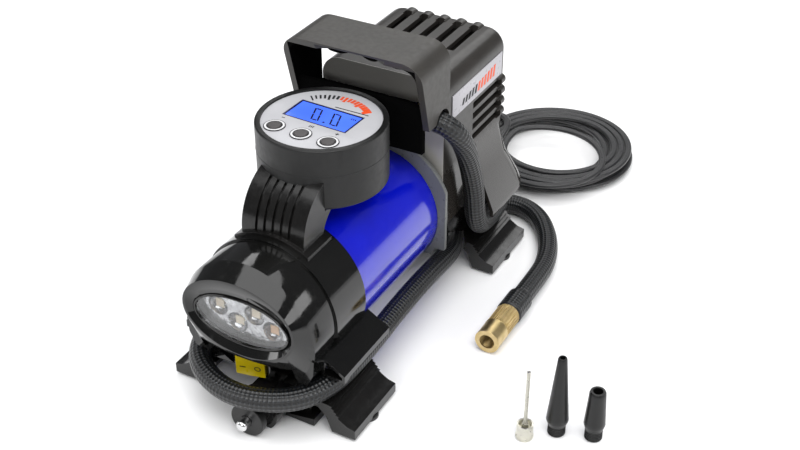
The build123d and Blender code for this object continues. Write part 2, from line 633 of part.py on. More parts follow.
@piece
def switch_frame():
    """Snap-in frame and body of the rocker switch."""
    frame = switch_box(8.8, 7.5, SWITCH_FACE, -84.0) + switch_body()
    pins = along_z(1.2 + RUN_GAP, SWITCH_Z - 6.7, SWITCH_Z + 6.7, x=SWITCH_X, y=PIVOT_Y)
    return frame - switch_box(7.2, 6.1, -90, -79.0) - pins


@piece
def switch_rocker():
    """Rocker with round pivot pins, tilted to its rest position."""
    half_x, half_z = ROCKER_HALF
    outline = [(-half_x, -3.8), (0, -4.1), (half_x, -3.8), (half_x - 0.8, 0.8), (2.0, 4.0), (-2.0, 4.0),
               (-half_x + 0.8, 0.8)]
    z0 = SWITCH_Z - half_z
    face = make_face(Polyline(*[(SWITCH_X + x, PIVOT_Y + y, z0) for x, y in outline], close=True))
    rocker = extrude(face, amount=2 * half_z, dir=(0, 0, 1))
    rocker = rocker + along_z(1.2, SWITCH_Z - 6.5, SWITCH_Z + 6.5, x=SWITCH_X, y=PIVOT_Y)
    return rocker.rotate(Axis((SWITCH_X, PIVOT_Y, SWITCH_Z), (0, 0, 1)), ROCKER_TILT)


# ---- gauge -----------------------------------------------------------------------------
def neck_side(offset, half_width):
    """Side view of the gauge neck: convex in front, hollowed behind."""
    front = ThreePointArc((0, -65.6 + offset, 66.0), (0, -66.3 + offset, 84.0), (0, -49.0, 97.6 - offset))
    top = Line((0, -49.0, 97.6 - offset), (0, -44.0, 97.6 - offset))
    back = Line((0, -44.0, 97.6 - offset), (0, -44.0, 83.8))
    hollow = ThreePointArc((0, -44.0, 83.8), (0, -51.4, 78.6), (0, -53.6, 66.0))
    foot = Line((0, -53.6, 66.0), (0, -65.6 + offset, 66.0))
    return Pos(-half_width, 0, 0) * extrude(make_face([front, top, back, hollow, foot]), amount=2 * half_width,
                                            dir=(1, 0, 0))


@piece
def gauge_pedestal():
    """Ribbed neck between the cap and the gauge, on a thin saddle."""
    core = neck_side(1.5, 14.5)
    ribs = neck_side(0.0, 14.5)
    for x in NECK_GROOVES:
        ribs = ribs - block((x - 0.6, x + 0.6), (-80, -40), (60, 100))
    saddle = along_y(CAP_R + 1.3, -69.5, -52.0) & block((-17.2, 17.2), (-80, -40), (60, 100))
    neck = core + ribs + saddle - along_y(CAP_R, -80, -40) - along_z(GAUGE_R, GAUGE_BOTTOM, 130, y=GAUGE_Y)
    return neck - plain_tube(SENSOR_ROUTE, 1.8, 3.0)


@piece
def gauge_case_lower():
    """Cup of the gauge."""
    cup = along_z(GAUGE_R, GAUGE_BOTTOM, GAUGE_SEAM, y=GAUGE_Y)
    cup = fillet(cup.edges().group_by(Axis.Z)[0], 1.5)
    cup = cup - along_z(GAUGE_R - 2.4, GAUGE_BOTTOM + 2.4, 120, y=GAUGE_Y)
    return cup - plain_tube(SENSOR_ROUTE, 1.8, 3.0)


@piece
def gauge_case_upper():
    """Upper ring of the gauge, with a raised rim."""
    ring = along_z(GAUGE_R, GAUGE_SEAM, GAUGE_TOP, y=GAUGE_Y)
    ring = fillet(ring.edges().group_by(Axis.Z)[-1], 0.8)
    return ring - along_z(GAUGE_R - 2.4, 0, 130, y=GAUGE_Y)


@piece
def gauge_face():
    """Face plate with the display opening and button rings."""
    plate = along_z(GAUGE_R - 2.4, FACE_Z - 1.4, FACE_Z, y=GAUGE_Y)
    rings = [along_z(4.2, FACE_Z - 1, FACE_Z + 0.4, x=x, y=y) for x, y in BUTTONS.values()]
    holes = [along_z(BUTTON_R + 0.35, 90, 120, x=x, y=y) for x, y in BUTTONS.values()]
    return plate + rings - holes - display_block(0.0, 90, 120)


def display_block(margin, z0, z1):
    """Slightly turned block in the place of the display."""
    half_x, half_y = DISPLAY_HALF[0] + margin, DISPLAY_HALF[1] + margin
    upright = block((-half_x, half_x), (-half_y, half_y), (z0, z1))
    return Pos(DISPLAY_X, DISPLAY_Y, 0) * Rot(0, 0, DISPLAY_TURN) * upright


@piece
def lcd_window():
    return display_block(0.0, FACE_Z - 1.4, FACE_Z - 0.3)


@piece
def gauge_board():
    """Circuit board with the display module and the pressure sensor."""
    board = along_z(23.8, 102.4, 104.0, y=GAUGE_Y)
    module = display_block(0.9, 104.0, 108.6)
    sensor = along_z(4.5, 96.5, 102.4, y=GAUGE_Y + 8)
    return board + module + sensor


def gauge_button(place):
    """Round push button."""
    cap = along_z(BUTTON_R, 105.4, BUTTON_TOP, x=place[0], y=place[1])
    return fillet(cap.edges().group_by(Axis.Z)[-1], 0.5)


# ---- hose end, cord end and adapters ---------------------------------------------------
def chuck_y(radius, y0, y1):
    """Cylinder on the axis of the chuck."""
    return along_y(radius, y0, y1, x=CHUCK_X, z=CHUCK_Z)


@piece
def hose_ferrule():
    """Sleeve over the end of the hose."""
    return chuck_y(6.0, 16.6, 28.6)


@piece
def chuck_core():
    """Hollow spindle on which the chuck collar turns."""
    spindle = chuck_y(3.2, 9.0, 16.6) + chuck_y(4.4, 6.6, 9.0)
    return spindle - chuck_y(1.2, 0, 20)


@piece
def chuck_collar():
    """Collar that screws onto a tyre valve: plain band in front, knurled behind."""
    collar = chuck_y(5.3, -6.5, 16.2) + chuck_y(5.7, -6.5, 3.4)
    ridge = block((CHUCK_X - 0.3, CHUCK_X + 0.3), (4.2, 15.6), (CHUCK_Z + 5.1, CHUCK_Z + 5.6))
    axis = Axis((CHUCK_X, 0, CHUCK_Z), (0, 1, 0))
    collar = collar + [ridge.rotate(axis, 15 * index) for index in range(24)]
    bore = chuck_y(VALVE_R, -7, 6.2) + chuck_y(4.8, 6.2, 9.4) + chuck_y(3.2 + RUN_GAP, 9.4, 20)
    return collar - bore


@piece
def cord_grommet():
    """Tapered strain relief where the power cord leaves the cover."""
    nose = Plane(origin=(GROMMET_X, 102, GROMMET_Z), z_dir=(0, -1, 0)) * Circle(2.8)
    root = Plane(origin=(GROMMET_X, 82, GROMMET_Z), z_dir=(0, -1, 0)) * Circle(4.4)
    inner = along_y(4.4, 79.0, 82.0, x=GROMMET_X, z=GROMMET_Z)
    return loft([nose, root]) + inner + along_y(6.4, 82.0, 84.0, x=GROMMET_X, z=GROMMET_Z)


def plug_y(radius, y0, y1):
    """Cylinder on the axis of the plug."""
    return along_y(radius, y0, y1, x=PLUG_X, z=PLUG_Z)


@piece
def plug_body():
    """12 V plug: nose disc, neck, body and grip, hollow at the tip."""
    body = plug_y(7.6, -100.0, -96.6) + plug_y(5.4, -96.6, -92.0) + plug_y(7.6, -92.0, -56.0)
    body = body + plug_y(6.8, -56.0, -30.0)
    relief = loft([Plane(origin=(PLUG_X, -30, PLUG_Z), z_dir=(0, 1, 0)) * Circle(5.0),
                   Plane(origin=(PLUG_X, -10, PLUG_Z), z_dir=(0, 1, 0)) * Circle(2.6)])
    tip_room = plug_y(2.4 + RUN_GAP, -101, -97) + plug_y(3.4, -97, -87)
    contact_rooms = block((PLUG_X - 9, PLUG_X - 5.6), (-73, -59), (PLUG_Z - 1.6, PLUG_Z + 1.6))
    contact_rooms = contact_rooms + block((PLUG_X + 5.6, PLUG_X + 9), (-73, -59), (PLUG_Z - 1.6, PLUG_Z + 1.6))
    return body + relief - tip_room - contact_rooms


@piece
def plug_tip():
    """Sprung centre contact, rounded at its end."""
    pin = plug_y(2.4, -105.0, -94.0) + plug_y(3.0, -96.4, -94.0)
    return fillet(pin.edges().group_by(Axis.Y)[0], 1.6)


@piece
def plug_contacts():
    """Two side springs of the plug."""
    right = block((PLUG_X + 5.6, PLUG_X + 8.4), (-72, -60), (PLUG_Z - 1.3, PLUG_Z + 1.3))
    left = block((PLUG_X - 8.4, PLUG_X - 5.6), (-72, -60), (PLUG_Z - 1.3, PLUG_Z + 1.3))
    return group([right, left])


def stacked(place, steps):
    """Standing adapter made of cones; each step is (height, radius)."""
    shape = None
    for (z0, r0), (z1, r1) in zip(steps, steps[1:]):
        part = Pos(place[0], place[1], (z0 + z1) / 2) * Cone(r0, r1, z1 - z0)
        shape = part if shape is None else shape + part
    return shape


def threaded_stub(place, height):
    """Plain stub in place of the adapter's thread."""
    return along_z(STUB_R, 0, height, *place)


@piece
def needle_adapter():
    """Ball needle that rises from a cupped base."""
    base = threaded_stub(NEEDLE_PLACE, 7.0) - along_z(2.7, 4.6, 8.0, *NEEDLE_PLACE)
    needle = along_z(1.4, 4.0, 7.4, *NEEDLE_PLACE) + along_z(0.8, 7.0, 34.0, *NEEDLE_PLACE)
    return base + needle - along_z(1.4, -1.0, 3.0, *NEEDLE_PLACE)


@piece
def tall_nozzle():
    """Long tapered nozzle on its stub."""
    cone = stacked(TALL_PLACE, [(5.0, 3.8), (7.4, 4.6), (38.2, 1.9), (39.0, 1.6)])
    return cone + threaded_stub(TALL_PLACE, 5.0) - along_z(1.1, -1.0, 60.0, *TALL_PLACE)


@piece
def short_nozzle():
    """Short wide nozzle on its stub."""
    cone = stacked(SHORT_PLACE, [(5.2, 3.8), (7.6, 4.4), (23.4, 3.4), (24.4, 3.0)])
    return cone + threaded_stub(SHORT_PLACE, 5.2) - along_z(2.0, -1.0, 60.0, *SHORT_PLACE)


def main():
    """Build every piece and write one file for each."""
    os.makedirs("parts", exist_ok=True)
    for name, place in BUTTONS.items():
        NODES[name] = lambda place=place: gauge_button(place)
    for name, function in NODES.items():
        export_step(function(), f"parts/{name}.step")
    print(len(NODES), "pieces")


main()
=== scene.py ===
"""Looks of the portable tyre inflator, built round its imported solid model."""
import json
import math

import bmesh
import bpy
from mathutils import Matrix, Vector

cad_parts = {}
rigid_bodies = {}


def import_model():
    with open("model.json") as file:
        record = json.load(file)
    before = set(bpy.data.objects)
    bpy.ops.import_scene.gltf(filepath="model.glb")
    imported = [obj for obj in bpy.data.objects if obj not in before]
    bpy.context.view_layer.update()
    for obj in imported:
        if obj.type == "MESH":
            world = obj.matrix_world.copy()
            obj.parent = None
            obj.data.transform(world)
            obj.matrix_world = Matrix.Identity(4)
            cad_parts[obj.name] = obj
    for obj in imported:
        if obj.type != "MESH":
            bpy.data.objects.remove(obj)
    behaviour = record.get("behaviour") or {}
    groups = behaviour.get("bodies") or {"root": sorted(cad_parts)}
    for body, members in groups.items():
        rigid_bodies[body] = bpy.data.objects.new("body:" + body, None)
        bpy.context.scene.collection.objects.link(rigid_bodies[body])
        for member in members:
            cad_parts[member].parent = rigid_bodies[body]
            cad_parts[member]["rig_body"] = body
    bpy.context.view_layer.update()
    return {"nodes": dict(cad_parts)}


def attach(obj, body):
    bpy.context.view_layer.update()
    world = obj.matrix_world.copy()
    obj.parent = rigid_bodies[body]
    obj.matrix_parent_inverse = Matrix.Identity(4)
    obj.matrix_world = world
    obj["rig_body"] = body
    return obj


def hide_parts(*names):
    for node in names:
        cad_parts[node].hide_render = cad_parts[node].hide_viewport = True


MM = 0.001
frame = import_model()
NODES = frame["nodes"]
ROOT = "inflator"

# ---- sizes shared by several pieces, in millimetres -----------------------------------
LENS_Z, LENS_A, LENS_B, LENS_FRONT = 51.3, 21.4, 10.2, -92.6
SWITCH_X, SWITCH_Z, PIVOT_Y, ROCKER_TILT = -0.8, 27.4, -85.4, 12.5
GAUGE_Y, GAUGE_R, GAUGE_SEAM, FACE_Z = -29.0, 27.0, 99.2, 110.1
BUTTONS = {"button_minus": (-13.6, -42.5), "button_mode": (-0.9, -43.1), "button_plus": (11.8, -43.6)}
DISPLAY_X, DISPLAY_Y, DISPLAY_TURN = -1.0, -26.1, -2.5
DISPLAY_HALF = (15.2, 7.3)
LAMP_PLACES = ((-12.6, 53.4), (-3.6, 48.2), (4.4, 54.2), (12.8, 49.4))
CHUCK_X, CHUCK_Z = 66.4, 6.2
COLLAR_BAND = 3.6                    # the collar is smooth in front of this and knurled behind it
ADAPTERS = {"needle": (102.6, -46.8), "long_nozzle": (112.9, -38.2), "wide_nozzle": (127.1, -33.7)}
COVER_HALF, COVER_FRONT, LABEL_THICK = 30.0, 20.0, 0.4
HANDLE_INSIDE, HANDLE_UNDER = 29.8, 128.0
HOSE_R = 4.8
COIL_X, COIL_Y, COIL_R = 25.0, 166.0, 36.0
CORD_W, CORD_T = 3.8, 2.3            # the twin cord lies flat

HOSE_ROUTE = [
    (22.6, 13.6, 97.0), (31.4, 13.6, 97.0), (38.0, 17.8, 90.3), (37.8, 26.0, 78.9), (37.4, 32.8, 65.4),
    (37.2, 37.6, 51.5), (37.0, 39.6, 38.0), (36.3, 45.6, 27.6), (33.8, 59.0, 21.6), (33.0, 76.0, 20.6),
    (27.4, 88.6, 20.2), (14.0, 93.8, 20.3), (-10.0, 94.0, 20.2), (-26.6, 88.8, 20.3), (-33.4, 74.0, 20.4),
    (-34.0, 46.0, 20.6), (-33.0, 14.0, 22.6), (-33.2, -18.0, 22.3), (-34.2, -50.0, 20.5),
    (-33.4, -76.0, 20.6),
    (-22.5, -94.0, 20.4), (0.0, -102.0, 20.3), (22.5, -93.6, 20.4), (31.2, -76.0, 20.6), (31.4, -48.0, 20.7),
    (30.8, -20.0, 22.4), (31.0, 8.0, 22.7), (29.5, 31.0, 18.4), (21.0, 50.0, 11.4), (14.4, 70.0, 7.6),
    (16.5, 91.0, 5.9), (29.0, 103.4, 5.1), (44.4, 99.4, 5.0), (57.4, 83.0, 5.1), (65.2, 63.0, 5.2),
    (66.4, 45.0, 5.9), (66.4, 28.6, 6.2),
]
LEAD_ROUTE = [
    (8.0, 102.2, 74.0), (8.1, 113.0, 74.0), (8.2, 121.4, 62.0), (6.4, 124.6, 43.0), (1.0, 126.6, 22.0),
    (-6.0, 132.0, 8.4), (-13.4, 140.6, 3.4), (-18.0, 151.0, 2.6),
]
TAIL_ROUTE = [
    (-0.6, 152.0, 11.4), (-1.8, 164.0, 11.6), (-6.6, 172.6, 11.6), (-13.6, 174.4, 11.2), (-20.2, 169.4, 8.4),
    (-23.6, 157.0, 3.6), (-24.0, 138.0, 2.2), (-21.6, 116.0, 2.3), (-15.8, 95.0, 2.2),
    (-8.0, 74.0, 2.4), (-3.0, 52.0, 2.2), (-0.4, 32.0, 2.6), (2.4, 16.0, 4.4), (4.3, 3.0, 8.0),
    (4.3, -14.0, 8.0), (4.3, -34.0, 8.0),
]


# ---- camera, lights and floor ----------------------------------------------------------
def add_camera():
    """Camera at the reference viewing angle."""
    data = bpy.data.cameras.new("camera")
    data.lens, data.sensor_width = 56.79, 36.0
    data.clip_start, data.clip_end = 0.01, 20.0
    camera = bpy.data.objects.new("camera", data)
    camera.location = (0.2394, -0.4013, 0.3550)
    camera.rotation_euler = (math.radians(90 - 33.8), 0.0, math.radians(28.7))
    bpy.context.scene.collection.objects.link(camera)
    bpy.context.scene.camera = camera


def add_softbox(name, place, aim, size, power, color=(1, 1, 1)):
    """Rectangular area light that points at a spot."""
    data = bpy.data.lights.new(name, "AREA")
    data.shape, data.size, data.size_y = "RECTANGLE", size[0], size[1]
    data.energy, data.color = power, color
    lamp = bpy.data.objects.new(name, data)
    lamp.location = place
    lamp.rotation_euler = (Vector(aim) - Vector(place)).to_track_quat("-Z", "Y").to_euler()
    bpy.context.scene.collection.objects.link(lamp)


def add_sun(name, direction, strength, spread_angle):
    """Distant light that evens out the floor."""
    data = bpy.data.lights.new(name, "SUN")
    data.energy, data.angle = strength, math.radians(spread_angle)
    lamp = bpy.data.objects.new(name, data)
    lamp.rotation_euler = Vector(direction).to_track_quat("-Z", "Y").to_euler()
    bpy.context.scene.collection.objects.link(lamp)


def add_studio():
    """Even white floor, dim surroundings and softboxes for the highlights."""
    world = bpy.data.worlds.new("studio")
    world.use_nodes = True
    background = world.node_tree.nodes["Background"]
    background.inputs["Color"].default_value = (0.93, 0.95, 1.0, 1.0)
    background.inputs["Strength"].default_value = 0.16
    bpy.context.scene.world = world
    bpy.context.scene.view_settings.view_transform = "Standard"
    centre = (0.02, 0.0, 0.05)
    add_sun("daylight", (-0.1, 0.2, -1.0), 2.9, 70.0)
    add_softbox("key", (0.45, -0.45, 0.75), centre, (0.35, 0.22), 1.6)
    add_softbox("left", (-0.8, -0.4, 0.4), centre, (0.25, 0.6), 2.2)
    add_softbox("front", (0.1, -0.95, 0.5), centre, (0.5, 0.16), 1.6)
    add_softbox("right", (0.75, 0.1, 0.4), centre, (0.6, 0.25), 2.0)
    add_softbox("back", (-0.2, 0.8, 0.7), centre, (0.9, 0.3), 2.6)
    bpy.ops.mesh.primitive_plane_add(size=6.0, location=(0, 0, -0.0002))
    floor = bpy.context.active_object
    floor.name = "floor"
    floor.data.materials.append(floor_material())


# ---- node helpers ----------------------------------------------------------------------
def new_material(name, **sockets):
    """Principled material with constant values set on its own sockets."""
    material = bpy.data.materials.new(name)
    material.use_nodes = True
    shader = material.node_tree.nodes["Principled BSDF"]
    for key, value in sockets.items():
        shader.inputs[key.replace("_", " ")].default_value = value
    return material, material.node_tree, shader


def add_node(tree, kind, inputs=None, **settings):
    """Node with settings and input values; a socket given as input is linked."""
    node = tree.nodes.new(kind)
    for key, value in settings.items():
        setattr(node, key, value)
    for key, value in (inputs or {}).items():
        if isinstance(value, bpy.types.NodeSocket):
            tree.links.new(value, node.inputs[key])
        else:
            node.inputs[key].default_value = value
    return node


def math_node(tree, operation, a, b=0.0):
    """Math node; a and b are numbers or sockets."""
    return add_node(tree, "ShaderNodeMath", {0: a, 1: b}, operation=operation).outputs[0]


def object_point(tree):
    return tree.nodes.new("ShaderNodeTexCoord").outputs["Object"]


def noise(tree, scale, detail=4.0, vector=None):
    point = vector or object_point(tree)
    inputs = {"Vector": point, "Scale": scale, "Detail": detail}
    return add_node(tree, "ShaderNodeTexNoise", inputs).outputs["Fac"]


def spread(tree, value, low, high, from_low=0.3, from_high=0.7):
    """Map a noise value to a range."""
    inputs = {"Value": value, "From Min": from_low, "From Max": from_high, "To Min": low, "To Max": high}
    return add_node(tree, "ShaderNodeMapRange", inputs).outputs["Result"]


def two_tone(tree, value, dark, light):
    """Colour between two tones."""
    mix = add_node(tree, "ShaderNodeMix", data_type="RGBA")
    mix.inputs[6].default_value = (*dark, 1)
    mix.inputs[7].default_value = (*light, 1)
    tree.links.new(value, mix.inputs[0])
    return mix.outputs[2]


def bump(tree, shader, height, distance, strength=1.0):
    node = add_node(tree, "ShaderNodeBump", {"Height": height, "Distance": distance, "Strength": strength})
    tree.links.new(node.outputs["Normal"], shader.inputs["Normal"])


# ---- materials -------------------------------------------------------------------------
def floor_material():
    material, tree, shader = new_material("floor", Roughness=0.75)
    tone = two_tone(tree, noise(tree, 6.0), (0.90, 0.90, 0.905), (0.93, 0.93, 0.93))
    tree.links.new(tone, shader.inputs["Base Color"])
    return material


def moulded_plastic(name, dark, light, roughness, grain=0.000006, coat=0.0):
    """Injection-moulded plastic: broad tone shifts, fine grain and faint handling marks."""
    material, tree, shader = new_material(name, Coat_Weight=coat, Coat_Roughness=0.05, Specular_IOR_Level=0.4)
    tone = two_tone(tree, spread(tree, noise(tree, 38.0), 0.0, 1.0), dark, light)
    tree.links.new(tone, shader.inputs["Base Color"])
    marks = spread(tree, noise(tree, 420.0, 8.0), -0.05, 0.07)
    tree.links.new(math_node(tree, "ADD", marks, roughness), shader.inputs["Roughness"])
    bump(tree, shader, noise(tree, 1500.0, 3.0), grain)
    return material


def blend_base(tree, shader, amount, color):
    """Mix the base colour towards another one where the amount is one."""
    link = shader.inputs["Base Color"].links[0]
    sockets = {0: amount, 6: link.from_socket, 7: (*color, 1.0)}
    mix = add_node(tree, "ShaderNodeMix", sockets, data_type="RGBA")
    tree.links.new(mix.outputs[2], shader.inputs["Base Color"])


def handle_plastic(name, dark, light):
    """Satin outside; the inside of the arch is painted near-black with its reflections turned off, as painted
    shade.
    """
    material = moulded_plastic(name, dark, light, 0.40)
    tree = material.node_tree
    place = add_node(tree, "ShaderNodeSeparateXYZ", {0: object_point(tree)})
    across = math_node(tree, "ABSOLUTE", place.outputs[0])
    narrow = math_node(tree, "LESS_THAN", across, (HANDLE_INSIDE + 0.1) * MM)
    low = math_node(tree, "LESS_THAN", place.outputs[2], (HANDLE_UNDER + 0.1) * MM)
    # painted shade: under the arch the colour is blended to near-black and the specular level drops to
    # nothing
    inside = math_node(tree, "MULTIPLY", narrow, low)
    shader = tree.nodes["Principled BSDF"]
    blend_base(tree, shader, inside, (0.003, 0.003, 0.003))
    level = math_node(tree, "MULTIPLY", math_node(tree, "SUBTRACT", 1.0, inside), 0.4)
    tree.links.new(level, shader.inputs["Specular IOR Level"])
    return material


def cover_plastic(name, dark, light):
    """Satin shell with painted light on the front wall, which is toned paler, and a polished, flared lower
    part.
    """
    material = moulded_plastic(name, dark, light, 0.33, coat=0.1)
    tree = material.node_tree
    shader = tree.nodes["Principled BSDF"]
    place = add_node(tree, "ShaderNodeSeparateXYZ", {0: object_point(tree)})
    height = place.outputs[2]
    # painted light: the front wall is blended towards a pale grey where light would fall on it
    front = math_node(tree, "LESS_THAN", place.outputs[1], (COVER_FRONT + 0.3) * MM)
    blend_base(tree, shader, front, (0.34, 0.33, 0.31))
    satin = spread(tree, height, 0.12, 0.33, 0.062, 0.068)
    fine = spread(tree, noise(tree, 420.0, 8.0), -0.04, 0.06)
    tree.links.new(math_node(tree, "ADD", satin, fine), shader.inputs["Roughness"])
    return material


def knurl_height(tree, centre, turning_axis, count=30.0, pitch=0.9 * MM):
    """Crossed diagonal ridges round a straight axis through a point."""
    point = add_node(tree, "ShaderNodeSeparateXYZ", {0: object_point(tree)})
    across, along = (0, 1) if turning_axis == "Z" else (0, 2), 2 if turning_axis == "Z" else 1
    a = math_node(tree, "SUBTRACT", point.outputs[across[0]], centre[0] * MM)
    b = math_node(tree, "SUBTRACT", point.outputs[across[1]], centre[1] * MM)
    turn = math_node(tree, "MULTIPLY", math_node(tree, "ARCTAN2", a, b), count)
    run = math_node(tree, "MULTIPLY", point.outputs[along], 2 * math.pi / pitch)
    right = math_node(tree, "SINE", math_node(tree, "ADD", turn, run))
    left = math_node(tree, "SINE", math_node(tree, "SUBTRACT", turn, run))
    return math_node(tree, "MAXIMUM", right, left)


def knurled_metal(name, dark, light, roughness, centre, turning_axis, smooth_below=None):
    """Metal with a fine crossed knurl; the stretch in front of a limit along Y stays smooth."""
    material, tree, shader = new_material(name, Metallic=1.0)
    tone = two_tone(tree, spread(tree, noise(tree, 260.0), 0.0, 1.0), dark, light)
    tree.links.new(tone, shader.inputs["Base Color"])
    worn = spread(tree, noise(tree, 500.0), roughness - 0.05, roughness + 0.08)
    tree.links.new(worn, shader.inputs["Roughness"])
    height = knurl_height(tree, centre, turning_axis)
    if smooth_below is not None:
        y = add_node(tree, "ShaderNodeSeparateXYZ", {0: object_point(tree)}).outputs[1]
        height = math_node(tree, "MULTIPLY", height, math_node(tree, "GREATER_THAN", y, smooth_below * MM))
    bump(tree, shader, height, 0.00012)
    return material


def enamel(name, dark, light):
    """Gloss paint over pressed metal, with a light orange-peel surface."""
    material, tree, shader = new_material(name, Coat_Weight=1.0, Coat_Roughness=0.03, Metallic=0.0)
    tone = two_tone(tree, spread(tree, noise(tree, 30.0), 0.0, 1.0), dark, light)
    tree.links.new(tone, shader.inputs["Base Color"])
    tree.links.new(spread(tree, noise(tree, 500.0), 0.16, 0.26), shader.inputs["Roughness"])
    bump(tree, shader, noise(tree, 260.0, 2.0), 0.000012)
    return material


def machined_metal(name, dark, light, roughness, streak=(40.0, 900.0, 40.0), grain=0.00001):
    """Bare metal with fine turning lines."""
    material, tree, shader = new_material(name, Metallic=1.0)
    mapping = {"Vector": object_point(tree), "Scale": streak}
    stretched = add_node(tree, "ShaderNodeMapping", mapping).outputs[0]
    lines = noise(tree, 1.0, 5.0, stretched)
    tree.links.new(two_tone(tree, spread(tree, lines, 0.0, 1.0), dark, light), shader.inputs["Base Color"])
    tree.links.new(spread(tree, lines, roughness - 0.06, roughness + 0.1), shader.inputs["Roughness"])
    bump(tree, shader, lines, grain)
    return material


def soft_rubber(name, dark, light, roughness=0.55):
    material, tree, shader = new_material(name, Sheen_Weight=0.15, Sheen_Roughness=0.5)
    tone = two_tone(tree, spread(tree, noise(tree, 90.0), 0.0, 1.0), dark, light)
    tree.links.new(tone, shader.inputs["Base Color"])
    worn = spread(tree, noise(tree, 700.0), roughness - 0.08, roughness + 0.1)
    tree.links.new(worn, shader.inputs["Roughness"])
    bump(tree, shader, noise(tree, 1800.0), 0.00003)
    return material


def braided_sleeve(name, around=16.0, pitch=1.7 * MM):
    """Woven sleeve over a hose: two crossing sets of strands, from the tube's own UVs."""
    material, tree, shader = new_material(name, Specular_IOR_Level=0.6)
    uv = add_node(tree, "ShaderNodeSeparateXYZ", {0: tree.nodes.new("ShaderNodeTexCoord").outputs["UV"]})
    turn = math_node(tree, "MULTIPLY", uv.outputs[0], 2 * math.pi * around / 2)
    run = math_node(tree, "MULTIPLY", uv.outputs[1], math.pi / pitch)
    right = math_node(tree, "SINE", math_node(tree, "ADD", turn, run))
    left = math_node(tree, "SINE", math_node(tree, "SUBTRACT", turn, run))
    weave = math_node(tree, "MULTIPLY", right, left)
    height = spread(tree, weave, 0.0, 1.0, -0.9, 0.9)
    strands = spread(tree, weave, 0.0, 1.0, 0.25, 0.95)
    tone = two_tone(tree, strands, (0.001, 0.0011, 0.0014), (0.014, 0.018, 0.022))
    tree.links.new(tone, shader.inputs["Base Color"])
    tree.links.new(spread(tree, weave, 0.5, 0.26, -0.5, 0.9), shader.inputs["Roughness"])
    bump(tree, shader, height, 0.00035)
    return material


def clear_lens_material(name):
    material, tree, shader = new_material(name, Transmission_Weight=1.0, IOR=1.45, Coat_Weight=0.3)
    tone = two_tone(tree, noise(tree, 120.0), (0.93, 0.95, 0.97), (1, 1, 1))
    tree.links.new(tone, shader.inputs["Base Color"])
    tree.links.new(spread(tree, noise(tree, 300.0), 0.0, 0.05), shader.inputs["Roughness"])
    bump(tree, shader, noise(tree, 90.0, 2.0), 0.00008)
    return material


def lit_display(name):
    """Backlit display, a little darker towards one side."""
    material, tree, shader = new_material(name, Roughness=0.2, Specular_IOR_Level=0.3, Emission_Strength=0.62)
    glow = two_tone(tree, noise(tree, 45.0, 1.0), (0.035, 0.085, 0.62), (0.07, 0.17, 0.90))
    tree.links.new(glow, shader.inputs["Base Color"])
    tree.links.new(glow, shader.inputs["Emission Color"])
    return material


